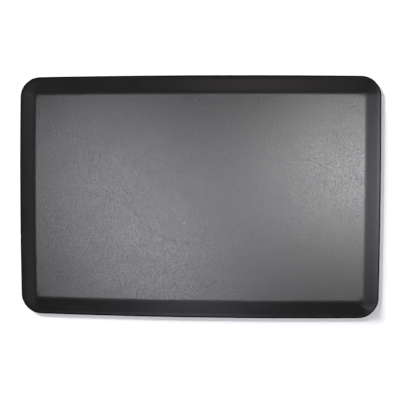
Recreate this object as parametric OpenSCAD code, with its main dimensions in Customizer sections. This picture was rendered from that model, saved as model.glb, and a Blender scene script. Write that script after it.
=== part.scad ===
// Anti-fatigue mat: a grained, bevel-edged skin over a resilient foam core,
// closed underneath by a non-slip base sheet that carries bonded grip studs.
// Millimetres, +Z up. The origin is the centre of the underside, on the floor.

/* [Overall] */
// Length of the mat, from left to right
mat_w = 914; // [600:2:1600]
// Depth of the mat, from front to back
mat_d = 610; // [400:2:1200]
// Height of the standing surface above the floor
mat_h = 19; // [15:0.5:26]

/* [Sloped border] */
// Width of the sloped border, from the outline in to the crest
ramp_w = 45; // [36:1:70]
// Corner radius of the flat standing surface
crown_corner_r = 5; // [4:1:60]
// Width of the flatter toe along the outline
toe_w = 10; // [8:1:16]
// Rise of the toe over its width
toe_rise = 2; // [1:0.25:3]
// Rounding of the crest, where the slope meets the standing surface
crest_r = 26; // [4:1:40]
// Rounding of the hollow where the slope meets the toe
toe_r = 30; // [0:1:40]
// Rounding of the thin outer edge
edge_r = 1.6; // [0:0.1:2.4]

/* [Layers] */
// Thickness of the grained skin
skin_t = 1.2; // [0.8:0.1:2]
// Thickness of the base sheet
base_t = 2; // [1.6:0.1:3]
// Thickness of the foam where it ends, inside the outer edge
core_edge_h = 1; // [0.5:0.1:3]

/* [Grip] */
// Width of the plain rim around the underside, measured on the base sheet
rim_w = 24; // [12:1:32]
// Depth of the recess in the underside, which is also the height of a stud
grip_h = 1; // [0.6:0.1:1.2]
// Diameter of a grip stud
stud_d = 14; // [8:1:20]
// Distance between neighbouring studs, centre to centre
stud_pitch = 36; // [26:1:60]
// Least gap between a stud and the wall of the recess
stud_margin = 6; // [3:1:12]

/* [Hidden] */
$fn = 96;

// Straight lengths that a rounded stretch is drawn with
ARC_STEPS = 6;

// The outline's corner arcs, the crest and the underside's recess share four upright axes
corner_r = ramp_w + crown_corner_r;
axis_x = mat_w / 2 - corner_r;
axis_y = mat_d / 2 - corner_r;

// The outer edge is as high as the layers that end behind it
toe_angle = atan(toe_rise / toe_w);
lip_h = base_t + core_edge_h + skin_t * tan(45 - toe_angle / 2);
slope_angle = atan((mat_h - lip_h - toe_rise) / (ramp_w - toe_w));

// The crest's rounding ends at the corner axes at the latest, and the edge's at the base sheet
crest_fit_r = min(crest_r, crown_corner_r / tan(slope_angle / 2));
edge_fit_r = min(edge_r, skin_t + core_edge_h / tan(45 - toe_angle / 2));

// The base sheet fits inside the skin's lip, and the recess lies inside its rim
base_corner_r = corner_r - skin_t;
recess_corner_r = base_corner_r - rim_w;

// Cross-section of the border: x is the distance out from a corner axis, y is the height
skin_outer = [
    [0, mat_h],
    [crown_corner_r, mat_h],
    [corner_r - toe_w, lip_h + toe_rise],
    [corner_r, lip_h],
    [corner_r, 0]
];
skin_radii = [crest_fit_r, toe_r, edge_fit_r];

function unit(v) = v / norm(v);
function left_of(a, b) = let (d = unit(b - a)) [-d.y, d.x];
function backwards(list) = [for (i = [len(list) - 1:-1:0]) list[i]];

// Moves corner b of the path a-b-c to its right by t, keeping both sides parallel
function moved_corner(a, b, c, t) =
    let (n1 = left_of(a, b), n2 = left_of(b, c))
    b - t * (n1 + n2) / (1 + n1 * n2);

// The whole path, moved to its right by t
function moved_path(path, t) =
    let (last = len(path) - 1)
    [
        path[0] - t * left_of(path[0], path[1]),
        for (i = [1:last - 1]) moved_corner(path[i - 1], path[i], path[i + 1], t),
        path[last] - t * left_of(path[last - 1], path[last])
    ];

// The arc of radius r that rounds corner b of the path a-b-c
function rounded_corner(a, b, c, r) =
    let (
        u = unit(a - b),
        v = unit(c - b),
        half_angle = acos(u * v) / 2,
        reach = r / tan(half_angle),
        centre = b + unit(u + v) * r / sin(half_angle),
        from = b + u * reach - centre,
        to = b + v * reach - centre,
        turn = atan2(from.x * to.y - from.y * to.x, from * to),
        start = atan2(from.y, from.x)
    )
    r <= 0 ? [b] : [
        for (i = [0:ARC_STEPS])
            centre + r * [cos(start + turn * i / ARC_STEPS), sin(start + turn * i / ARC_STEPS)]
    ];

// The path with its inner corners rounded, each by its own radius
function rounded_path(path, radii) =
    let (last = len(path) - 1)
    [
        path[0],
        for (i = [1:last - 1])
            each rounded_corner(path[i - 1], path[i], path[i + 1], radii[i - 1]),
        path[last]
    ];

outer_path = rounded_path(skin_outer, skin_radii);

// The skin has one thickness, so its inside runs parallel to its outside: a rounding is
// tighter inside where the skin bends down, and wider where it bends up
skin_inner = moved_path(skin_outer, skin_t);
inner_radii = [
    for (i = [0:len(skin_radii) - 1])
        let (bend = cross(skin_outer[i + 1] - skin_outer[i], skin_outer[i + 2] - skin_outer[i + 1]))
        max(0, skin_radii[i] + skin_t * sign(bend))
];
inner_path = rounded_path(skin_inner, inner_radii);

// The foam fills the skin down to the top of the base sheet
core_top = [for (p = skin_inner) [p.x, max(p.y, base_t)]];
core_path = rounded_path(core_top, inner_radii);

// Sweeps a cross-section around the four corner axes and along the four sides, and carries
// it across the middle. The section's first and last points are on the axis, at x = 0.
module swept_border(section) {
    for (quarter = [0:3]) {
        turned = quarter % 2 == 1;
        out = turned ? axis_y : axis_x;
        along = turned ? axis_x : axis_y;
        to_middle = [for (end = [len(section) - 1, 0]) [-out, section[end].y]];
        rotate(90 * quarter) {
            translate([out, along, 0])
                rotate_extrude(angle = 90) polygon(section);
            translate([0, along, 0])
                rotate([90, 0, 90])
                    linear_extrude(out) polygon(section);
            translate([out, along, 0])
                rotate([90, 0, 0])
                    linear_extrude(along) polygon(concat(section, to_middle));
        }
    }
}

// Moulded skin: the standing surface, the slope, the toe and the outer edge, in one
module top_skin() {
    color("#38383b")
        swept_border(concat(outer_path, backwards(inner_path)));
}

// Resilient foam that fills the skin
module foam_core() {
    color("#5d5b57")
        swept_border(concat(core_path, [[0, base_t]]));
}

// Non-slip sheet that closes the underside, with a plain rim around a shallow recess
module base_sheet() {
    section = [
        [0, grip_h],
        [recess_corner_r, grip_h],
        [recess_corner_r, 0],
        [base_corner_r, 0],
        [base_corner_r, base_t],
        [0, base_t]
    ];
    color("#242426")
        swept_border(section);
}

// How far a point of the underside lies inside the wall of the recess
function inside_recess(p) =
    let (q = [abs(p.x) - axis_x, abs(p.y) - axis_y])
    recess_corner_r - norm([max(q.x, 0), max(q.y, 0)]) - min(max(q.x, q.y), 0);

// Grip studs bonded into the recess in staggered rows, level with the rim
module grip_studs() {
    row_gap = stud_pitch * sin(60);
    rows = ceil(mat_d / row_gap / 2);
    columns = ceil(mat_w / stud_pitch / 2);
    color("#303033")
        for (row = [-rows:rows], column = [-columns:columns]) {
            shift = row % 2 == 0 ? 0 : 0.5;
            centre = [(column + shift) * stud_pitch, row * row_gap];
            if (inside_recess(centre) >= stud_d / 2 + stud_margin)
                translate([centre.x, centre.y, 0])
                    cylinder(h = grip_h, d = stud_d);
        }
}

top_skin();
foam_core();
base_sheet();
grip_studs();
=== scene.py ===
# %% [markdown]
# # An anti-fatigue mat in four layers
#
# The mat is a slab to stand on at a tall desk. From outside to inside it is a moulded skin
# of black polyurethane, a core of resilient foam that gives underfoot, and underneath a
# rubber sheet with grip studs bonded into it. The CAD model holds the sizes and the layers.
# This lesson builds what the eye sees: the soft crest, the pebbled grain, the way a
# flexible mat lies, the light on it, and an underside worth turning over.
# %% The fixed frame
import math

import bmesh
import bpy
from mathutils import Matrix, Quaternion, Vector, noise


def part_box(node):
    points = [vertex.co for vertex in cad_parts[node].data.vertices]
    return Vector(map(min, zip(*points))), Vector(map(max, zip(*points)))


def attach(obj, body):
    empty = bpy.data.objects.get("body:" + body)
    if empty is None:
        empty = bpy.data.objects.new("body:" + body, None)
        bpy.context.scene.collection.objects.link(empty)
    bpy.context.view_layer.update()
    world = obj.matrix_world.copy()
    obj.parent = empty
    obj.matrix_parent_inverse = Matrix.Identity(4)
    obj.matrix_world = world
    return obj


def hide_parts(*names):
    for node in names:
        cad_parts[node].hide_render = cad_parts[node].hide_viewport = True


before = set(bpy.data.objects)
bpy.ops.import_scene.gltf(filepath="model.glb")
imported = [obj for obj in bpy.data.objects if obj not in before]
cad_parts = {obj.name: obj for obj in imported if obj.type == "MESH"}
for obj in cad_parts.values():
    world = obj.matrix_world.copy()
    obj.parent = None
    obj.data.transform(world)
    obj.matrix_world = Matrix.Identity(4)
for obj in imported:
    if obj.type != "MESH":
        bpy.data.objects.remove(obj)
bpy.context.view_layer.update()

# %% [markdown]
# ## Sizes
#
# Whatever can be measured on the CAD layers is measured, so the new pieces follow them. The
# border's section can't be read from a box, so its few driving sizes are named here. Blender
# counts in metres, and a mat is drawn in millimetres, so one value stands for a millimetre.
# %% Sizes of the layers and of the sloped border
MM = 0.001
half_w, half_d, mat_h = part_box("top_skin")[1]
base_half_w, _, base_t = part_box("base_sheet")[1]
grip_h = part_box("grip_studs")[1].z
skin_t = half_w - base_half_w

ramp_w = 45 * MM
crown_corner_r = 5 * MM
toe_w = 10 * MM
toe_rise = 2 * MM
core_edge_h = 1 * MM
rim_w = 24 * MM

corner_r = ramp_w + crown_corner_r
axis_x = half_w - corner_r
axis_y = half_d - corner_r
toe_angle = math.atan2(toe_rise, toe_w)
lip_h = base_t + core_edge_h + skin_t * math.tan(math.radians(45) - toe_angle / 2)
print(f"skin {skin_t / MM:.2f} mm, base {base_t / MM:.2f} mm, outer edge {lip_h / MM:.2f} mm high")

# %% [markdown]
# ## The camera
#
# The view is almost straight down, from a metre and a half, which is where a person holding
# a camera over the mat would stand. A camera that looks down and is then leaned by two
# small angles keeps the long side level in the picture. The leans are turns about the
# picture's own axes, so they are easy to read: one to the side, one towards the back.
# %% Camera
view_distance = 1.5
focal_length = 53.07
sensor_w = 36
aim = Vector((4.9 * MM, -8.5 * MM, 0))
lean_side = math.radians(2.31)
lean_back = math.radians(-1.91)
picture_turn = math.radians(0.23)

view_turn = (
    Matrix.Rotation(picture_turn, 4, "Z")
    @ Matrix.Rotation(lean_side, 4, "Y")
    @ Matrix.Rotation(lean_back, 4, "X")
)
lens = bpy.data.cameras.new("view")
lens.lens = focal_length
lens.sensor_width = sensor_w
camera = bpy.data.objects.new("view", lens)
camera.matrix_world = Matrix.Translation(aim) @ view_turn @ Matrix.Translation((0, 0, view_distance))
bpy.context.scene.collection.objects.link(camera)
bpy.context.scene.camera = camera
print("the camera stands at", camera.matrix_world.translation)

# %% [markdown]
# ## Node helpers
#
# A material made by hand is a chain of boxes. One short helper adds a box, sets its choices
# and either fills or links its sockets, so that each finish below reads like a recipe.
# %% Helpers for materials
def node(tree, kind, sockets=None, **choices):
    """Adds a node, and sets or links the sockets that are given by name or number."""
    made = tree.nodes.new(kind)
    for name, value in choices.items():
        setattr(made, name, value)
    for name, value in (sockets or {}).items():
        if isinstance(value, bpy.types.NodeSocket):
            tree.links.new(value, made.inputs[name])
        else:
            made.inputs[name].default_value = value
    return made


def math_node(tree, operation, *values, clamp=False):
    """One step of arithmetic. Returns its output socket."""
    sockets = dict(enumerate(values))
    return node(tree, "ShaderNodeMath", sockets, operation=operation, use_clamp=clamp).outputs[0]


def remap(tree, value, low, high, to_low, to_high):
    """Stretches a value from one range to another, and stops at the ends."""
    sockets = {0: value, 1: low, 2: high, 3: to_low, 4: to_high}
    return node(tree, "ShaderNodeMapRange", sockets, clamp=True).outputs[0]


def mix_colour(tree, share, one, other):
    """Blends two colours."""
    made = node(tree, "ShaderNodeMix", {"Factor": share}, data_type="RGBA")
    for socket, value in ((made.inputs[6], one), (made.inputs[7], other)):
        if isinstance(value, bpy.types.NodeSocket):
            tree.links.new(value, socket)
        else:
            socket.default_value = (*value, 1)
    return made.outputs[2]


def new_material(name):
    """An empty material, without any nodes. Returns the material and its tree."""
    material = bpy.data.materials.new(name)
    material.use_nodes = True
    material.node_tree.nodes.clear()
    return material, material.node_tree


def finish_material(tree, shader):
    """Links the shader to the material's surface."""
    node(tree, "ShaderNodeOutputMaterial", {"Surface": shader.outputs[0]})


# %% [markdown]
# ## Floor and light
#
# The mat is shown as a shop would show it: on a plain white floor, under soft light
# from overhead. Black polyurethane hardly shows by its own colour. What the eye reads is
# the gloss of the flat top, which mirrors the lights above, against slopes that lean away
# and mirror only the dim room beside the mat. So the lights are wide panels, hung where the
# top reflects them. From below, the floor lets the eye and the light through to the underside.
# %% Floor
FLOOR_REACH = 6
FLOOR_WHITE = (0.86, 0.86, 0.86, 1)


def floor_paint():
    """White from above. From below it is clear, and lamps shine through it."""
    material, tree = new_material("white_floor")
    white = node(tree, "ShaderNodeBsdfDiffuse", {"Color": FLOOR_WHITE})
    clear = node(tree, "ShaderNodeBsdfTransparent")
    below = node(tree, "ShaderNodeNewGeometry").outputs["Backfacing"]
    lit_through = node(tree, "ShaderNodeLightPath").outputs["Is Shadow Ray"]
    unseen = math_node(tree, "MAXIMUM", below, lit_through)
    either = node(tree, "ShaderNodeMixShader", {0: unseen, 1: white.outputs[0], 2: clear.outputs[0]})
    finish_material(tree, either)
    return material


def build_floor():
    bm = bmesh.new()
    bmesh.ops.create_grid(bm, x_segments=1, y_segments=1, size=FLOOR_REACH)
    mesh = bpy.data.meshes.new("floor")
    bm.to_mesh(mesh)
    bm.free()
    floor = bpy.data.objects.new("floor", mesh)
    bpy.context.scene.collection.objects.link(floor)
    mesh.materials.append(floor_paint())
    print("the floor is", 2 * FLOOR_REACH, "metres wide")


build_floor()

# %% [markdown]
# ## Soft panels
#
# In a studio these are softboxes, and an area light is Blender's softbox. It can serve
# reflections, or plain lighting, or both, which a real one can't. That is used here to set
# the gloss and the brightness apart. Two panels hang where the flat top mirrors them. Five
# smaller ones stand beside the mat, about as high as they are far, because that is the
# patch of the room that a slope mirrors. The ceiling lights the floor and the colours, but
# never shows in the gloss.
# %% Hanging a light
REFLECTIONS = "reflections"
SURFACES = "surfaces"
BOTH = "both"


def hang(name, light, at, facing, serves=BOTH):
    """Puts a light in the room. It may serve only reflections, or only the plain lighting."""
    lamp = bpy.data.objects.new(name, light)
    lamp.matrix_world = Matrix.LocRotScale(Vector(at), facing, None)
    lamp.visible_camera = False
    lamp.visible_diffuse = serves != REFLECTIONS
    lamp.visible_glossy = serves != SURFACES
    bpy.context.scene.collection.objects.link(lamp)
    print(f"{name}: {light.energy} of light for {serves}")


def soft_panel(name, at, aim_at, size, watts, turned=0, serves=BOTH, tint=(1, 1, 1)):
    """A rectangular panel of light that faces a point, turned in its own plane by degrees."""
    light = bpy.data.lights.new(name, "AREA")
    light.shape = "RECTANGLE"
    light.size, light.size_y = size
    light.energy = watts
    light.color = tint
    facing = (Vector(aim_at) - Vector(at)).to_track_quat("-Z", "Y")
    hang(name, light, at, facing @ Quaternion((0, 0, 1), math.radians(turned)), serves)


# %% Panels that the flat top mirrors
PANEL_HEIGHT = 2.0
# name, place along and across the mat, size, watts, turn in degrees, tint
for name, along, across, size, watts, turned, tint in (
    ("mirrored_right", 0.95, 0.10, (0.95, 0.59), 22, 0, (1, 1, 1.02)),
    ("mirrored_left", -0.45, -0.195, (1.34, 0.54), 18, -62, (1.01, 1, 1.05)),
):
    straight_below = (along, across, 0)
    at = (along, across, PANEL_HEIGHT)
    soft_panel(name, at, straight_below, size, watts, turned, REFLECTIONS, tint)

# %% Panels that the slopes mirror, and the ceiling
MIDDLE = (0, 0, 0)
for side, at, size, watts, tint in (
    ("right", (2.30, 0.02, 1.70), (1.1, 1.2), 6.8, (1, 1, 1.10)),
    ("right_corner", (2.00, -1.50, 1.65), (0.5, 0.9), 1.8, (1, 1, 1.10)),
    ("left", (-2.50, 0.80, 1.45), (0.6, 0.8), 0.44, (1.25, 1, 1.2)),
    ("back", (0.25, 2.30, 1.50), (0.8, 0.5), 0.8, (1.15, 1, 1.05)),
    ("front", (-0.13, -1.95, 1.85), (0.5, 1.1), 1.95, (1.05, 1, 1.15)),
):
    soft_panel("beside_" + side, at, MIDDLE, size, watts, 0, REFLECTIONS, tint)
soft_panel("ceiling", (0, 0, 2.6), MIDDLE, (2.4, 2.0), 47, 0, SURFACES, tint=(0.99, 0.99, 1.05))

# %% [markdown]
# ## A low sun, a panel below and the room
#
# The soft shadow at the front and the right comes from one low, wide sun behind the mat to
# the left. A narrow sun would cut the shadow sharply, and a ceiling alone gives none. Under
# the floor hangs a panel for views of the underside. It keeps within the mat's outline, so
# it can't shine on the edges. The world stands for the walls of a pale room, brighter near
# the horizon, and the camera sees it as an even backdrop.
# %% Low sun
sun_height = math.radians(13.5)
sun_side = math.radians(135)
sun_width = math.radians(9)
sun_strength = 9.5
sun_away = Vector((
    math.cos(sun_height) * math.cos(sun_side),
    math.cos(sun_height) * math.sin(sun_side),
    math.sin(sun_height),
))
sun = bpy.data.lights.new("low_sun", "SUN")
sun.energy = sun_strength
sun.angle = sun_width
hang("low_sun", sun, sun_away, (-sun_away).to_track_quat("-Z", "Y"), SURFACES)

# %% Panel below
soft_panel("underneath", (-0.2, -0.1, -0.6), (0.05, 0, 0), (0.4, 0.3), 14)

# %% The room
HORIZON_GLOW = 0.6
OVERHEAD_GLOW = 0.03
BACKDROP = 0.72
room = bpy.data.worlds.new("pale_room")
room.use_nodes = True
tree = room.node_tree
direction = node(tree, "ShaderNodeTexCoord").outputs["Generated"]
height = node(tree, "ShaderNodeSeparateXYZ", {0: direction}).outputs["Z"]
glow = remap(tree, height, 0.12, 0.42, HORIZON_GLOW, OVERHEAD_GLOW)
above = math_node(tree, "GREATER_THAN", height, 0)
lighting = math_node(tree, "MULTIPLY", glow, above)
seen = node(tree, "ShaderNodeLightPath").outputs["Is Camera Ray"]
strength = node(tree, "ShaderNodeMix", {"Factor": seen, 2: lighting, 3: BACKDROP})
tree.links.new(strength.outputs[0], tree.nodes["Background"].inputs["Strength"])
tree.nodes["Background"].inputs["Color"].default_value = (0.98, 0.99, 1, 1)
bpy.context.scene.world = room
bpy.context.scene.view_settings.view_transform = "Standard"
print("the room glows from", HORIZON_GLOW, "at the horizon to", OVERHEAD_GLOW, "overhead")

# %% [markdown]
# ## How the mat lies
#
# A flexible slab is never quite the rectangle it was drawn as. The foam draws its corners in
# a little, so each side stands out by a few millimetres along its middle. A lattice or a
# simulation could bend the finished mat, but a lattice is hard to measure against. Here a
# function says where a point of the straight mat really lies. Every layer is passed through
# it last, or one layer would show through the next.
# %% The bow of the four sides
# outwards from the straight side, in millimetres: at its middle, and at its two ends
BOW = {
    "back": (1.4, -3.1, -2.0),
    "front": (3.9, -2.7, -0.8),
    "left": (0.4, -2.9, -3.0),
    "right": (1.2, -1.0, -1.0),
}


def bow(side, along):
    """How far a side stands out. along runs from -1 to 1 between its ends."""
    middle, first, last = BOW[side]
    slope = (last - first) / 2
    sag = (last + first) / 2 - middle
    return (middle + slope * along + sag * along * along) * MM


print("the sides stand out by", {side: round(bow(side, 0) / MM, 1) for side in BOW}, "mm")

# %% [markdown]
# ## Dents, creases and waves of the top
#
# The moulded top is never dead flat. It has slow waves, a shallow dent in the middle where
# the mould was filled, a pinched nick where two slopes meet at each corner, and one curved
# fold at the front right, where the mat was once bent. Sculpting would do this by hand.
# A sum of soft bumps does it by numbers, so every layer can repeat it exactly.
# %% Soft bumps
def bump_of(distance, width):
    """1 where the distance is nothing, falling away softly to 0."""
    return math.exp(-((distance / width) ** 2))


def arc_crease(x, y, centre, radius, facing, half_angle, width):
    """How deep a point lies in a crease that follows an arc, from 0 to 1."""
    away = Vector((x - centre[0], y - centre[1]))
    off = away.length - radius
    turn = away.angle_signed(Vector((math.cos(facing), math.sin(facing)))) if away.length else 0
    return bump_of(off, width) * bump_of(turn, half_angle)


def inside_edge(x, y):
    """How far in from the outline a point of the straight mat lies."""
    out = Vector((max(abs(x) - axis_x, 0), max(abs(y) - axis_y, 0)))
    return corner_r - out.length


# %% Waves and the dent
# each wave has a height in millimetres and a length in metres
WAVES = ((0.20, 0.16), (0.07, 0.055))
DENT = Vector((-0.008, 0.022, 0))
DENT_DEPTH = 0.9
DENT_WIDTH = 22 * MM
DENT_RIM_HEIGHT = 0.12
DENT_RIM_R = 42 * MM
DENT_RIM_WIDTH = 10 * MM


def waves_at(place):
    (first, first_length), (second, second_length) = WAVES
    return first * noise.noise(place / first_length) + second * noise.noise(place / second_length)


def dent_at(place):
    """A hollow with a faintly raised rim, in millimetres."""
    away = (place - DENT).length
    rim = DENT_RIM_HEIGHT * bump_of(away - DENT_RIM_R, DENT_RIM_WIDTH)
    return -DENT_DEPTH * bump_of(away, DENT_WIDTH) + rim


# %% Nicks, the fold and the droop
NICK = Vector((0.4095, 0.2575, 0))
NICK_DEPTH = 0.6
NICK_WIDTH = 4.2 * MM
FOLD_CENTRE = (0.441, -0.222)
FOLD_R = 53.5 * MM
FOLD_FACING = math.radians(-108)
FOLD_HALF_ANGLE = math.radians(24)
FOLD_WIDTH = 2.6 * MM
FOLD_DEPTH = 1.3
DROOP_DEPTH = 0.14
DROOP_WIDTH = 8 * MM
DROOP_REACH = 20 * MM


def nicks_at(place):
    """The four pinched corners of the standing surface, from 0 to 1."""
    return sum(
        bump_of((place - Vector((side * NICK.x, end * NICK.y, 0))).length, NICK_WIDTH)
        for side in (-1, 1) for end in (-1, 1)
    )


def droop_at(x, y):
    """The crest hangs a little along the back, from 0 to 1."""
    from_crest = min(inside_edge(x, y) - ramp_w, DROOP_REACH)
    return bump_of(from_crest, DROOP_WIDTH) * min(max(y / half_d, 0), 1)


# %% The whole relief
def relief(x, y):
    """How far the top of the skin stands above its drawn height, in metres."""
    place = Vector((x, y, 0))
    fold = arc_crease(x, y, FOLD_CENTRE, FOLD_R, FOLD_FACING, FOLD_HALF_ANGLE, FOLD_WIDTH)
    sunk = NICK_DEPTH * nicks_at(place) + FOLD_DEPTH * fold + DROOP_DEPTH * droop_at(x, y)
    return (waves_at(place) + dent_at(place) - sunk) * MM


print(f"dent in the middle: {relief(DENT.x, DENT.y) / MM:.2f} mm")

# %% [markdown]
# ## Putting a piece where it lies
#
# A point of the straight mat is moved sideways by the bow of the sides, in proportion to
# where it is between them, and up or down by the relief. The base sheet stays flat on the
# floor, so the relief and the swelling of the crest fade out towards it. A modifier would
# have to be set up alike on every piece, while one function keeps all four together.
# %% Letting a piece lie
CREST_SWELL = 2.7 * MM
CREST_REACH = 22 * MM


def let_lie(bm):
    """Moves a straight piece to where the mat really lies. The base sheet stays flat."""
    for vert in bm.verts:
        x, y, z = vert.co
        across, along = x / half_w, y / half_d
        right, left = bow("right", along), -bow("left", along)
        back, front = bow("back", across), -bow("front", across)
        vert.co.x += left + (right - left) * (1 + across) / 2
        vert.co.y += front + (back - front) * (1 + along) / 2
        if z > base_t:
            share = (z - base_t) / (mat_h - base_t)
            vert.co.z = min(z + relief(x, y) * share, mat_h)
            swollen = bump_of(abs(x) - half_w + ramp_w, CREST_REACH)
            vert.co.x += math.copysign(CREST_SWELL * swollen * share, x)


print(f"the crest swells by up to {CREST_SWELL / MM:.1f} mm, within {CREST_REACH / MM:.0f} mm")

# %% [markdown]
# ## Sweeping the border
#
# Skin, foam and base share one plan: a section that runs along four straight sides and
# around four corners, with a flat field in the middle. A plain box with bevelled edges
# would give the corners but not the hollow toe. Drawing the section once, as a chain of
# edges, and sweeping it right round gives every layer the same corners. `spin` does both
# kinds of run: with an angle it turns a corner, and with only a step it goes straight. The
# straight runs go in one stride each and are cut into cells afterwards, which is far
# quicker than a hundred small steps.
# %% Drawing a section
ARC_CELLS = 6


def section_wire(bm, corners, radii, cell):
    """The section as a chain of edges, where the right side starts. Corners are pairs of
    distance out from the corner axis and height, and each inner one has its radius."""
    chain = [bm.verts.new((axis_x + out, -axis_y, height)) for out, height in corners]
    for first, second in zip(chain, chain[1:]):
        bm.edges.new((first, second))
    places = [Vector(corner) for corner in corners]
    for vert, before, at, after, radius in zip(chain[1:], places, places[1:], places[2:], radii):
        reach = radius * math.tan((at - before).angle(after - at) / 2)
        if reach > 0:
            bmesh.ops.bevel(
                bm, geom=[vert], offset=reach, offset_type="OFFSET", segments=ARC_CELLS,
                profile=0.5, affect="VERTICES", material=-1,
            )
    for edge in bm.edges[:]:
        cuts = math.ceil(edge.calc_length() / cell) - 1
        if cuts > 0:
            bmesh.ops.subdivide_edges(bm, edges=[edge], cuts=cuts)
    return bm.verts[:] + bm.edges[:]


# %% Sweeping it round
CORNER_CELLS = 30
UP = (0, 0, 1)


def sweep_round(bm, front):
    """Carries the section round the mat: a straight run and a corner, four times."""
    runs = ((0, 1, axis_y), (-1, 0, axis_x), (0, -1, axis_y), (1, 0, axis_x))
    turns = ((axis_x, axis_y), (-axis_x, axis_y), (-axis_x, -axis_y), (axis_x, -axis_y))
    for (x, y, half_run), (turn_x, turn_y) in zip(runs, turns):
        run = bmesh.ops.spin(
            bm, geom=front, cent=(0, 0, 0), axis=UP, angle=0, steps=1,
            dvec=Vector((x, y, 0)) * 2 * half_run,
        )
        turn = bmesh.ops.spin(
            bm, geom=run["geom_last"], cent=(turn_x, turn_y, 0), axis=UP,
            angle=math.pi / 2, steps=CORNER_CELLS,
        )
        front = turn["geom_last"]


# %% Cutting the straight runs into cells
LENGTH_SLACK = 0.01 * MM


def cells_along(length, cell):
    return max(1, round(length / cell))


def cut_runs(bm, cell):
    """Cuts the straight runs into cells. Only the edges along a run are as long as it is."""
    for run in (2 * axis_x, 2 * axis_y):
        lengthwise = [edge for edge in bm.edges if abs(edge.calc_length() - run) < LENGTH_SLACK]
        bmesh.ops.subdivide_edges(
            bm, edges=lengthwise, cuts=cells_along(run, cell) - 1, use_grid_fill=True,
        )


# %% A whole layer
SEAM_GAP = 0.005 * MM


def fill_field(bm, height, cell):
    """The flat field between the corner axes, cut to match the sides' cells."""
    bmesh.ops.create_grid(
        bm, x_segments=cells_along(2 * axis_x, cell), y_segments=cells_along(2 * axis_y, cell),
        size=1, matrix=Matrix.Translation((0, 0, height)) @ Matrix.Diagonal((axis_x, axis_y, 1, 1)),
    )


def swept_layer(corners, radii, across, cell):
    """A closed layer: its section, cut into lengths of at most across, is swept round in
    steps of about a cell, and the section's two ends each get a field."""
    bm = bmesh.new()
    sweep_round(bm, section_wire(bm, corners, radii, across))
    cut_runs(bm, cell)
    for _, height in (corners[0], corners[-1]):
        fill_field(bm, height, cell)
    bmesh.ops.remove_doubles(bm, verts=bm.verts, dist=SEAM_GAP)
    bmesh.ops.recalc_face_normals(bm, faces=bm.faces)
    print("edges left open:", sum(edge.is_boundary for edge in bm.edges))
    return bm


# %% Putting a mesh in the scene
def new_piece(name, bm):
    """Puts a finished mesh in the scene, smooth-shaded, with its object at the origin."""
    mesh = bpy.data.meshes.new(name)
    bm.to_mesh(mesh)
    bm.free()
    mesh.shade_smooth()
    piece = bpy.data.objects.new(name, mesh)
    bpy.context.scene.collection.objects.link(piece)
    triangles = sum(len(face.vertices) - 2 for face in mesh.polygons)
    print(f"{name}: {triangles} triangles")
    return piece


# %% [markdown]
# ## The section of the border
#
# The skin comes out of its mould in one piece, with no seam: a flat top, a crest that rolls
# over softly, a slope of about twenty degrees, and a flatter toe that thins to the edge. Its
# inside runs parallel to its outside, at one thickness. A corner of the inside lies where
# the two moved sides cross, which a line through the corner gives directly.
# %% Outside and inside of the skin
crest_r = 26 * MM
toe_r = 30 * MM
edge_r = 1.6 * MM
foot_r = 0.4 * MM
# width of the outer strip that carries painted shade
shade_strip_w = 3.4 * MM
toe_slope = toe_rise / toe_w

outside = [
    (0, mat_h),
    (crown_corner_r, mat_h),
    (corner_r - toe_w, lip_h + toe_rise),
    (corner_r, lip_h),
    (corner_r, 0),
]


def moved_in(corners, distance):
    """The same chain, moved towards its right by a distance."""
    places = [Vector(corner) for corner in corners]
    normals = [(b - a).orthogonal().normalized() for a, b in zip(places, places[1:])]
    normals = [normals[0]] + normals + [normals[-1]]
    moved = []
    for place, first, second in zip(places, normals, normals[1:]):
        moved.append(tuple(place - distance * (first + second) / (1 + first.dot(second))))
    return moved


inside = moved_in(outside, skin_t)
print("inside of the skin:", [(round(out / MM, 2), round(height / MM, 2)) for out, height in inside])

# %% [markdown]
# ## The skin
#
# The section is one chain: down the outside, round the foot and back up the inside. The
# outermost strip carries painted shade, a deeper and duller black for the edge's own shadow.
# It has a finish of its own, so the chain gets an extra corner there, and the faces of the
# strip take the second of the skin's two materials. One mask is stored on the points for
# the finish to read: how far a point belongs to the standing surface.
# %% Skin
SKIN_ACROSS = 2.5 * MM
SKIN_CELL = 5 * MM
GRAIN_STARTS = 38 * MM
GRAIN_FADE = 8 * MM


def skin_mesh():
    shade_strip_start = (corner_r - shade_strip_w, lip_h + shade_strip_w * toe_slope)
    corners = outside[:3] + [shade_strip_start] + outside[3:] + inside[::-1]
    radii = (
        crest_r, toe_r, 0, edge_r, foot_r, 0,
        edge_r - skin_t, toe_r + skin_t, crest_r - skin_t,
    )
    bm = swept_layer(corners, radii, SKIN_ACROSS, SKIN_CELL)
    standing = bm.verts.layers.float.new("standing")
    for vert in bm.verts:
        deep = inside_edge(vert.co.x, vert.co.y)
        vert[standing] = min(max((deep - GRAIN_STARTS) / GRAIN_FADE, 0), 1)
    for face in bm.faces:
        centre = face.calc_center_median()
        # faces of the outer strip take the second material, which paints shade on the edge
        face.material_index = int(inside_edge(centre.x, centre.y) < shade_strip_w)
    return bm


skin_bm = skin_mesh()
let_lie(skin_bm)
skin = new_piece("skin", skin_bm)
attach(skin, "root")
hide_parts("top_skin")

# %% [markdown]
# ## The foam core
#
# The foam fills the skin down to the base sheet, so its top is the skin's inside. On a real
# mat it is poured and takes this shape by itself. A scaled-down copy of the skin would
# leave gaps at the toe, while the shared section leaves none.
# %% Foam
FOAM_CELL = 8 * MM


def foam_mesh():
    corners = [(out, max(height, base_t)) for out, height in inside] + [(0, base_t)]
    radii = (crest_r - skin_t, toe_r + skin_t, edge_r - skin_t, 0)
    return swept_layer(corners, radii, SKIN_CELL, FOAM_CELL)


foam_bm = foam_mesh()
let_lie(foam_bm)
foam = new_piece("foam", foam_bm)
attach(foam, "root")
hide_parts("foam_core")

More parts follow.
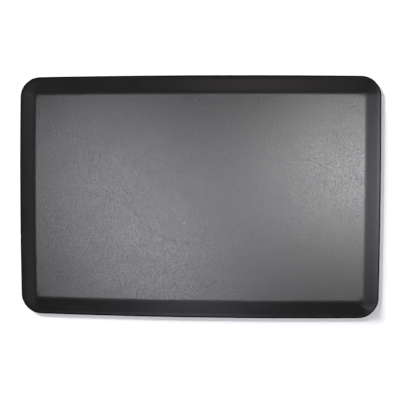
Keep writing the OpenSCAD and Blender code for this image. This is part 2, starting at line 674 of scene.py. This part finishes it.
# %% [markdown]
# ## The base sheet
#
# A rubber sheet closes the underside. Round its outside runs a plain rim that lies flat on
# the floor, and within the rim the sheet steps up by a millimetre, which leaves room for
# the studs. Each edge of the step is rounded, as the moulding tool's would be.
# %% Base sheet
BASE_CELL = 10 * MM
base_corner_r = corner_r - skin_t
recess_corner_r = base_corner_r - rim_w
recess_edge_r = 0.3 * MM
rim_edge_r = 0.4 * MM


def base_mesh():
    corners = [
        (0, grip_h),
        (recess_corner_r, grip_h),
        (recess_corner_r, 0),
        (base_corner_r, 0),
        (base_corner_r, base_t),
        (0, base_t),
    ]
    radii = (recess_edge_r, rim_edge_r, rim_edge_r, 0)
    return swept_layer(corners, radii, BASE_CELL, BASE_CELL)


base_bm = base_mesh()
let_lie(base_bm)
base = new_piece("base", base_bm)
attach(base, "root")
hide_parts("base_sheet")

# %% [markdown]
# ## The grip studs
#
# Some four hundred equal studs are bonded into the recess. The CAD layer already says where
# each one is: its mesh has one island per stud, and the middle of an island is a centre.
# One stud is made with `spin` and copied to each centre. It is repeated so often that it
# has to be lean: a wall, a rounded edge and a dished foot that grips like a shallow cup.
# %% Centres of the studs
TOUCHING = 0.001 * MM


def island_centres(node_name):
    """Finds the separate solids of a CAD node. Returns the middle of each, and their radius."""
    copy = bmesh.new()
    copy.from_mesh(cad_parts[node_name].data)
    bmesh.ops.remove_doubles(copy, verts=copy.verts, dist=TOUCHING)
    unseen = set(copy.verts)
    centres = []
    while unseen:
        island = [unseen.pop()]
        for vert in island:
            near = {edge.other_vert(vert) for edge in vert.link_edges} & unseen
            unseen -= near
            island.extend(near)
        low_x, high_x = min(v.co.x for v in island), max(v.co.x for v in island)
        low_y, high_y = min(v.co.y for v in island), max(v.co.y for v in island)
        centres.append(Vector(((low_x + high_x) / 2, (low_y + high_y) / 2, 0)))
        radius = (high_x - low_x) / 2
    copy.free()
    return sorted(centres, key=lambda centre: centre[:]), radius


stud_centres, stud_r = island_centres("grip_studs")
print(len(stud_centres), "studs of radius", round(stud_r / MM, 2), "mm")

# %% One stud
STUD_STEPS = 16
DISH_DEPTH = 0.30 * MM
FOOT_W = 1.1 * MM
FOOT_EDGE = 0.45 * MM


def one_stud():
    """A closed stud that stands on its foot at the origin."""
    bm = bmesh.new()
    profile = [
        (0, DISH_DEPTH),
        (stud_r - FOOT_W, 0),
        (stud_r, FOOT_EDGE),
        (stud_r, grip_h),
    ]
    chain = [bm.verts.new((out, 0, height)) for out, height in profile]
    edges = [bm.edges.new(pair) for pair in zip(chain, chain[1:])]
    bmesh.ops.spin(
        bm, geom=chain + edges, cent=(0, 0, 0), axis=UP, angle=2 * math.pi,
        steps=STUD_STEPS, use_merge=True,
    )
    bmesh.ops.remove_doubles(bm, verts=bm.verts, dist=TOUCHING)
    bmesh.ops.holes_fill(bm, edges=bm.edges)
    bmesh.ops.recalc_face_normals(bm, faces=bm.faces)
    print("one stud has", len(bm.faces), "faces")
    return bm


# %% All the studs
def all_studs():
    """Copies one stud to every centre."""
    stud = one_stud()
    mesh = bpy.data.meshes.new("one_stud")
    stud.to_mesh(mesh)
    stud.free()
    bm = bmesh.new()
    for centre in stud_centres:
        first = len(bm.verts)
        bm.from_mesh(mesh)
        bm.verts.ensure_lookup_table()
        bmesh.ops.translate(bm, vec=centre, verts=bm.verts[first:])
    bpy.data.meshes.remove(mesh)
    return bm


studs_bm = all_studs()
let_lie(studs_bm)
studs = new_piece("studs", studs_bm)
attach(studs, "root")
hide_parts("grip_studs")

# %% [markdown]
# ## Shared effects
#
# Grain, streaks and dust are needed in several finishes, and a stroke is needed many times
# in one. Each could be drawn again wherever it is needed, but then a change has to be made
# everywhere. So each is a node group: built once, and placed in a material with its own
# values. A group puts out masks and heights only, and the material decides what they do.
# %% Building a group
NUMBER = "NodeSocketFloat"


def new_group(name, sizes, results):
    """A node group that takes a Vector and named sizes. Returns it with its two ends."""
    group = bpy.data.node_groups.new(name, "ShaderNodeTree")
    group.interface.new_socket(name="Vector", in_out="INPUT", socket_type="NodeSocketVector")
    for label, usual in sizes.items():
        socket = group.interface.new_socket(name=label, in_out="INPUT", socket_type=NUMBER)
        socket.default_value = usual
    for label in results:
        group.interface.new_socket(name=label, in_out="OUTPUT", socket_type=NUMBER)
    print("group", name, "takes", sorted(sizes), "and gives", results)
    start = group.nodes.new("NodeGroupInput").outputs
    end = group.nodes.new("NodeGroupOutput").inputs
    return group, start, end


def use_group(tree, group, vector, **sizes):
    """Places a group. An underscore in a size's name stands for a space. Returns its outputs."""
    sockets = {label.replace("_", " "): value for label, value in sizes.items()}
    sockets["Vector"] = vector
    return node(tree, "ShaderNodeGroup", sockets, node_tree=group).outputs


# %% Working with places
def vector_step(tree, operation, *values, **named):
    """One step of vector arithmetic. Returns its output socket."""
    sockets = {**dict(enumerate(values)), **named}
    return node(tree, "ShaderNodeVectorMath", sockets, operation=operation).outputs[0]


def scaled(tree, vector, x, y, z):
    """A place divided by a size in each direction, so that one pattern cell is one unit."""
    size = node(tree, "ShaderNodeCombineXYZ", {0: x, 1: y, 2: z}).outputs[0]
    return vector_step(tree, "DIVIDE", vector, size)


def shifted(tree, vector, amount, detail_size):
    """A place pushed about by soft noise, so that a regular pattern looks grown."""
    wobble = node(tree, "ShaderNodeTexNoise", {"Vector": vector, "Scale": detail_size})
    centred = vector_step(tree, "SUBTRACT", wobble.outputs["Color"], (0.5, 0.5, 0.5))
    push = vector_step(tree, "SCALE", centred, Scale=amount)
    return vector_step(tree, "ADD", vector, push)


# %% [markdown]
# ## Pebbled grain
#
# The standing surface is moulded like leather: rounded pebbles with fine creases between
# them. A picture of leather would repeat and blur close up. A Voronoi texture has cells of
# any size, and its distance to the cell's edge gives both the dome of a pebble and the
# crease. Height is what a Bump node needs, Crease is 1 along the creases, and Tone is one
# random value for each pebble.
# %% Pebbled grain
pebble_grain, start, end = new_group(
    "pebble_grain", {"Width": 2.0, "Length": 3.0}, ("Height", "Crease", "Tone"),
)
straight_cells = scaled(
    pebble_grain, start["Vector"], start["Width"], start["Length"], start["Width"],
)
cells = shifted(pebble_grain, straight_cells, 1.1, 0.9)
rim = node(
    pebble_grain, "ShaderNodeTexVoronoi", {"Vector": cells, "Scale": 1},
    feature="DISTANCE_TO_EDGE",
).outputs["Distance"]
tone = node(pebble_grain, "ShaderNodeTexVoronoi", {"Vector": cells, "Scale": 1}).outputs["Color"]
tone = node(pebble_grain, "ShaderNodeSeparateXYZ", {0: tone}).outputs["X"]
dome = node(
    pebble_grain, "ShaderNodeMapRange", {0: rim, 2: 0.34}, interpolation_type="SMOOTHSTEP",
).outputs[0]
level = remap(pebble_grain, tone, 0, 1, 0.72, 1)
pebble_grain.links.new(math_node(pebble_grain, "MULTIPLY", dome, level), end["Height"])
pebble_grain.links.new(remap(pebble_grain, rim, 0.0, 0.12, 1, 0), end["Crease"])
pebble_grain.links.new(tone, end["Tone"])

# %% [markdown]
# ## Streaks
#
# The cutter that made the mould left faint lines on its slopes. Noise that is stretched far
# sideways and pressed flat in height gives such lines. They follow the height, so on a
# slope they run along the edge and turn with it at the corners.
# %% Streaks
streaks, start, end = new_group("streaks", {"Length": 120.0, "Rise": 0.9}, ("Streak",))
stretched = scaled(streaks, start["Vector"], start["Length"], start["Length"], start["Rise"])
lines = node(streaks, "ShaderNodeTexNoise", {"Vector": stretched, "Scale": 1, "Detail": 3}).outputs[0]
streaks.links.new(remap(streaks, lines, 0.3, 0.7, 0, 1), end["Streak"])

# %% [markdown]
# ## Dust
#
# Black rubber shows every speck. One dot in each Voronoi cell would look like a pattern, so
# only a share of the cells get one, by the cell's own random colour. Cloud is slow noise,
# for a material that wants its dust to gather here and there.
# %% Dust
dust, start, end = new_group(
    "dust", {"Spacing": 9.0, "Size": 0.35, "Share": 0.3}, ("Speck", "Cloud"),
)
spots = scaled(dust, start["Vector"], start["Spacing"], start["Spacing"], start["Spacing"])
grain_of_dust = node(dust, "ShaderNodeTexVoronoi", {"Vector": spots, "Scale": 1})
chance = node(dust, "ShaderNodeSeparateXYZ", {0: grain_of_dust.outputs["Color"]}).outputs["X"]
reach = math_node(dust, "DIVIDE", start["Size"], start["Spacing"])
near = math_node(dust, "LESS_THAN", grain_of_dust.outputs["Distance"], reach)
chosen = math_node(dust, "LESS_THAN", chance, start["Share"])
cloud = node(dust, "ShaderNodeTexNoise", {"Vector": spots, "Scale": 0.11, "Detail": 3}).outputs[0]
dust.links.new(math_node(dust, "MULTIPLY", near, chosen), end["Speck"])
dust.links.new(remap(dust, cloud, 0.42, 0.7, 0, 1), end["Cloud"])

# %% [markdown]
# ## Strokes
#
# A scratch, a fleck of lint, a pit and a wrinkle are all one stroke on the surface. It is
# too fine for the mesh, so it is drawn by the material, with plain arithmetic on the place.
# A stroke lies on a circle round a centre, and reaches the given angle to either side of
# the direction it faces. A short reach on a large circle is a straight line.
# %% Stroke along an arc
arc_stroke, start, end = new_group(
    "arc_stroke",
    {"Centre X": 0, "Centre Y": 0, "Radius": 100, "Facing": 0, "Reach": 20, "Width": 1},
    ("Stroke",),
)
flat = vector_step(arc_stroke, "MULTIPLY", start["Vector"], (1, 1, 0))
centre = node(arc_stroke, "ShaderNodeCombineXYZ", {0: start["Centre X"], 1: start["Centre Y"]})
away = vector_step(arc_stroke, "SUBTRACT", flat, centre.outputs[0])
length = node(arc_stroke, "ShaderNodeVectorMath", {0: away}, operation="LENGTH").outputs["Value"]
off = math_node(arc_stroke, "ABSOLUTE", math_node(arc_stroke, "SUBTRACT", length, start["Radius"]))
thin = math_node(arc_stroke, "DIVIDE", off, start["Width"])
facing = math_node(arc_stroke, "RADIANS", start["Facing"])
ahead = node(arc_stroke, "ShaderNodeCombineXYZ", {
    0: math_node(arc_stroke, "COSINE", facing),
    1: math_node(arc_stroke, "SINE", facing),
}).outputs[0]
direct = vector_step(arc_stroke, "NORMALIZE", away)
match = node(arc_stroke, "ShaderNodeVectorMath", {0: direct, 1: ahead}, operation="DOT_PRODUCT")
turn = math_node(arc_stroke, "ARCCOSINE", math_node(arc_stroke, "MINIMUM", match.outputs["Value"], 1))
part = math_node(arc_stroke, "DIVIDE", turn, math_node(arc_stroke, "RADIANS", start["Reach"]))
body = remap(arc_stroke, thin, 0.4, 1, 1, 0)
ends = remap(arc_stroke, part, 0.8, 1, 1, 0)
arc_stroke.links.new(math_node(arc_stroke, "MULTIPLY", body, ends), end["Stroke"])

# %% [markdown]
# ## What the finishes share
#
# Polyurethane skin, foam and rubber are all soft plastics, so one recipe serves the four
# finishes: a colour, a roughness and a fine relief that vary from place to place. Every
# pattern reads the place in millimetres, so its sizes can be read off directly. A picture
# wrapped round the mesh would stretch at the corners, while a place never does.
# %% Place in millimetres
def place_in_mm(tree):
    place = node(tree, "ShaderNodeTexCoord").outputs["Object"]
    return vector_step(tree, "SCALE", place, Scale=1 / MM)


def soft_noise(tree, place, size, detail=2):
    """Slow variation from 0 to 1, with patches of about the given size."""
    sockets = {"Vector": place, "Scale": 1 / size, "Detail": detail}
    spread = node(tree, "ShaderNodeTexNoise", sockets)
    return remap(tree, spread.outputs[0], 0.3, 0.7, 0, 1)


def add_up(tree, *values):
    """The sum of several values."""
    total = values[0]
    for value in values[1:]:
        total = math_node(tree, "ADD", total, value)
    return total


def times(tree, *values):
    """The product of several values."""
    product = values[0]
    for value in values[1:]:
        product = math_node(tree, "MULTIPLY", product, value)
    return product


# %% One coat for every layer
def coat(tree, colour, roughness, specular, height, strength=1):
    """The shader, with its heights, in millimetres, as bump."""
    sockets = {"Height": height, "Distance": MM, "Strength": strength}
    shader = node(tree, "ShaderNodeBsdfPrincipled", {
        "Base Color": colour,
        "Roughness": roughness,
        "Specular IOR Level": specular,
        "Normal": node(tree, "ShaderNodeBump", sockets).outputs[0],
    })
    finish_material(tree, shader)


# %% [markdown]
# ## Marks of use
#
# A used mat carries a thin scratch, two small ticks, a fleck of lint, a few pits and faint
# wrinkles where feet have stood. Random marks would look scattered, so each has its own
# place. On a black glossy surface a paler or darker colour hardly shows: what the eye sees
# is that a mark is less smooth than what is round it.
# %% Marks on the standing surface
# centre x and y, radius, facing, reach, width: millimetres and degrees
SCRATCH = (227.6, -75.3, 174.7, 69.5, 17, 1.2)
TICKS = ((111, 59, 300, -108.4, 2.3, 1.0), (-160, 5, 300, -48.3, 2.9, 1.3))
LINT = (-34, -270, 203, 90, 0.5, 1.0)
PITS = (
    (-286, 42, 0.5, 0, 200, 1.2),
    (387, 227, 0.5, 0, 200, 1.2),
    (316, 42, 0.5, 0, 200, 1.2),
)
WRINKLES = ((-15, 55, 172, -92, 66, 2.2), (14, 16, 201, -66.5, 18, 1.8))


def stroke(tree, place, values):
    labels = ("Centre_X", "Centre_Y", "Radius", "Facing", "Reach", "Width")
    return use_group(tree, arc_stroke, place, **dict(zip(labels, values)))["Stroke"]


def strokes(tree, place, several):
    return add_up(tree, *[stroke(tree, place, values) for values in several])


def marks_of_use(tree, place):
    """Masks of the marks. Thin ones are broken up, as a scratch skips over the pebbles."""
    broken = remap(tree, soft_noise(tree, place, 7), 0.25, 0.6, 0, 1)
    scratch = times(tree, stroke(tree, place, SCRATCH), broken, 0.7)
    ticks = times(tree, strokes(tree, place, TICKS), broken)
    return {
        "cut": math_node(tree, "MAXIMUM", scratch, ticks),
        "lint": stroke(tree, place, LINT),
        "pits": strokes(tree, place, PITS),
        "wrinkles": times(tree, strokes(tree, place, WRINKLES), broken),
    }


# %% [markdown]
# ## Finish of the skin
#
# Grain, streaks and marks come together here. A mask on the points of the mesh says where
# the standing surface is, so the grain stops softly at the crest. Height makes the relief
# that is too fine for the mesh. The black itself is nearly even, and the sheen does the
# rest: each pebble, each patch and each mark has its own roughness. Sizes and heights are
# in millimetres.
# %% Fine relief of the skin
PEBBLE_WIDTH = 2.7
PEBBLE_LENGTH = 4.5
PEBBLE_HEIGHT = 0.12
PORE_WIDTH = 0.7
PORE_LENGTH = 0.8
PORE_HEIGHT = 0.012
STREAK_HEIGHT = 0.035
CUT_DEPTH = 0.06
PIT_DEPTH = 0.25


def skin_height(tree, pebbles, pores, lines, standing, sloping, marks):
    """The fine relief, in millimetres."""
    return add_up(
        tree,
        times(tree, pebbles["Height"], standing, PEBBLE_HEIGHT),
        times(tree, pores["Height"], PORE_HEIGHT),
        times(tree, lines, sloping, STREAK_HEIGHT),
        times(tree, marks["cut"], -CUT_DEPTH),
        times(tree, marks["pits"], -PIT_DEPTH),
    )


# %% Colour of the skin
DEEPER_BLACK = (0.0041, 0.0036, 0.0038)
PALER_BLACK = (0.0049, 0.0046, 0.0049)
CREASE_SHADE_BLACK = (0.002, 0.002, 0.002)
# a painted shade colour for the creases between pebbles
DUST_GREY = (0.20, 0.20, 0.19)
LINT_WHITE = (0.6, 0.6, 0.58)


def skin_colour(tree, place, pebbles, clouds, standing, marks):
    """Nearly even black, with painted shade in the creases, a little dust and the lint."""
    worn = use_group(tree, dust, place, Spacing=16, Size=0.35, Share=0.10)
    specks = times(tree, worn["Speck"], worn["Cloud"], 0.2)
    # painted shade: the creases between pebbles are coloured a deeper black, where shade falls
    crease_shade = times(tree, pebbles["Crease"], standing, 0.5)
    black = mix_colour(tree, clouds, DEEPER_BLACK, PALER_BLACK)
    deep = mix_colour(tree, crease_shade, black, CREASE_SHADE_BLACK)
    specked = mix_colour(tree, specks, deep, DUST_GREY)
    return mix_colour(tree, times(tree, marks["lint"], 0.5), specked, LINT_WHITE)


# %% Sheen of the skin
def skin_roughness(tree, place, pebbles, clouds, standing, sloping, marks):
    """The sheen, with its own small change for each pebble, patch and mark."""
    patches = soft_noise(tree, place, 22, 3)
    return add_up(
        tree,
        remap(tree, clouds, 0, 1, 0.31, 0.33),
        times(tree, remap(tree, pebbles["Tone"], 0, 1, -0.03, 0.03), standing),
        times(tree, remap(tree, patches, 0, 1, -0.03, 0.03), sloping),
        times(tree, pebbles["Crease"], standing, 0.06),
        times(tree, marks["cut"], 0.38),
        times(tree, marks["wrinkles"], 0.10),
        times(tree, marks["lint"], 0.3),
        times(tree, marks["pits"], 0.4),
    )


# %% The skin's material
def moulded_skin():
    material, tree = new_material("moulded_skin")
    place = place_in_mm(tree)
    standing = node(tree, "ShaderNodeAttribute", attribute_name="standing").outputs["Fac"]
    sloping = math_node(tree, "SUBTRACT", 1, standing)
    pebbles = use_group(tree, pebble_grain, place, Width=PEBBLE_WIDTH, Length=PEBBLE_LENGTH)
    pores = use_group(tree, pebble_grain, place, Width=PORE_WIDTH, Length=PORE_LENGTH)
    lines = use_group(tree, streaks, place)["Streak"]
    clouds = soft_noise(tree, place, 60, 3)
    marks = marks_of_use(tree, place)
    colour = skin_colour(tree, place, pebbles, clouds, standing, marks)
    roughness = skin_roughness(tree, place, pebbles, clouds, standing, sloping, marks)
    height = skin_height(tree, pebbles, pores, lines, standing, sloping, marks)
    coat(tree, colour, roughness, 1.0, height)
    return material


skin.data.materials.append(moulded_skin())

# %% [markdown]
# ## Finish of the outer strip: painted shade
#
# The outermost strip is painted a deeper black, as painted shade where the edge falls into
# its own shadow, and its surface is dull and a little ragged. A deeper black alone wouldn't
# make it dark, because gloss is most of what shows on black. So its roughness is high too,
# and its mirror-like share is almost nothing.
# %% Painted shade of the outer strip
def painted_shade_edge():
    material, tree = new_material("painted_shade_edge")
    place = place_in_mm(tree)
    nibbled = use_group(tree, pebble_grain, place, Width=0.9, Length=0.9)
    lines = use_group(tree, streaks, place, Length=60, Rise=0.5)["Streak"]
    height = add_up(tree, times(tree, nibbled["Height"], 0.02), times(tree, lines, 0.03))
    # painted shade: a deeper black on the outer strip stands for the edge's own shadow
    colour = mix_colour(tree, lines, (0.0007, 0.0007, 0.0007), (0.0014, 0.0013, 0.0014))
    coat(tree, colour, remap(tree, lines, 0, 1, 0.78, 0.88), 0.04, height)
    return material


skin.data.materials.append(painted_shade_edge())
print("the skin has", [material.name for material in skin.data.materials])

# %% [markdown]
# ## Finish of the foam
#
# The three hidden finishes still have to be right when the mat is turned over or taken
# apart. The foam is dark grey with open cells of about a millimetre. The pebble group
# serves again, upside down: its domes become hollows, and each hollow gets painted shade,
# a darker colour inside.
# %% Foam finish
def cell_foam():
    material, tree = new_material("cell_foam")
    place = place_in_mm(tree)
    large = use_group(tree, pebble_grain, place, Width=1.3, Length=1.3)["Height"]
    small = use_group(tree, pebble_grain, place, Width=0.5, Length=0.5)["Height"]
    height = add_up(tree, times(tree, large, -0.35), times(tree, small, -0.12))
    patches = soft_noise(tree, place, 40, 3)
    pale = mix_colour(tree, patches, (0.062, 0.060, 0.056), (0.078, 0.075, 0.069))
    # painted shade: each hollow is coloured darker inside, where shade falls
    hollow_shade = remap(tree, large, 0.2, 1, 0, 0.7)
    colour = mix_colour(tree, hollow_shade, pale, (0.022, 0.021, 0.020))
    coat(tree, colour, remap(tree, small, 0, 1, 0.86, 0.96), 0.25, height, strength=0.8)
    return material


foam.data.materials.append(cell_foam())
print("the foam has", foam.data.materials[0].name)

# %% [markdown]
# ## Finish of the base sheet
#
# The base is a matt rubber with a fine pebble from its moulding plate. It lies on the floor,
# so it picks up a film of dust in patches, and single specks where the film is thickest.
# %% Base rubber
def base_rubber():
    material, tree = new_material("base_rubber")
    place = place_in_mm(tree)
    pebbles = use_group(tree, pebble_grain, place, Width=1.1, Length=1.1)
    floor_dust = use_group(tree, dust, place, Spacing=5, Size=0.45, Share=0.25)
    scuffs = soft_noise(tree, place, 35, 4)
    film = times(tree, floor_dust["Cloud"], 0.10)
    specks = times(tree, floor_dust["Speck"], floor_dust["Cloud"], 0.5)
    black = mix_colour(tree, scuffs, (0.011, 0.011, 0.0115), (0.017, 0.0168, 0.017))
    dusty = mix_colour(tree, film, black, (0.16, 0.155, 0.145))
    colour = mix_colour(tree, specks, dusty, (0.3, 0.29, 0.27))
    roughness = remap(tree, scuffs, 0, 1, 0.56, 0.70)
    coat(tree, colour, roughness, 0.5, times(tree, pebbles["Height"], 0.06))
    return material


base.data.materials.append(base_rubber())
print("the base has", base.data.materials[0].name)

# %% [markdown]
# ## Finish of the studs
#
# The studs are a softer, slightly tacky rubber, so they shine a little more than the sheet
# they are bonded to, and the film of dust on them is thicker. All of them share one
# material, and since it reads the place on the mat, no two look the same.
# %% Stud rubber
def stud_rubber():
    material, tree = new_material("stud_rubber")
    place = place_in_mm(tree)
    pebbles = use_group(tree, pebble_grain, place, Width=0.6, Length=0.6)
    floor_dust = use_group(tree, dust, place, Spacing=4, Size=0.4, Share=0.3)
    scuffs = soft_noise(tree, place, 12, 3)
    black = mix_colour(tree, scuffs, (0.020, 0.0205, 0.022), (0.030, 0.030, 0.032))
    film = times(tree, floor_dust["Cloud"], 0.14)
    colour = mix_colour(tree, film, black, (0.2, 0.19, 0.18))
    roughness = remap(tree, scuffs, 0, 1, 0.38, 0.5)
    coat(tree, colour, roughness, 0.5, times(tree, pebbles["Height"], 0.014))
    return material


studs.data.materials.append(stud_rubber())
print("the studs have", studs.data.materials[0].name)
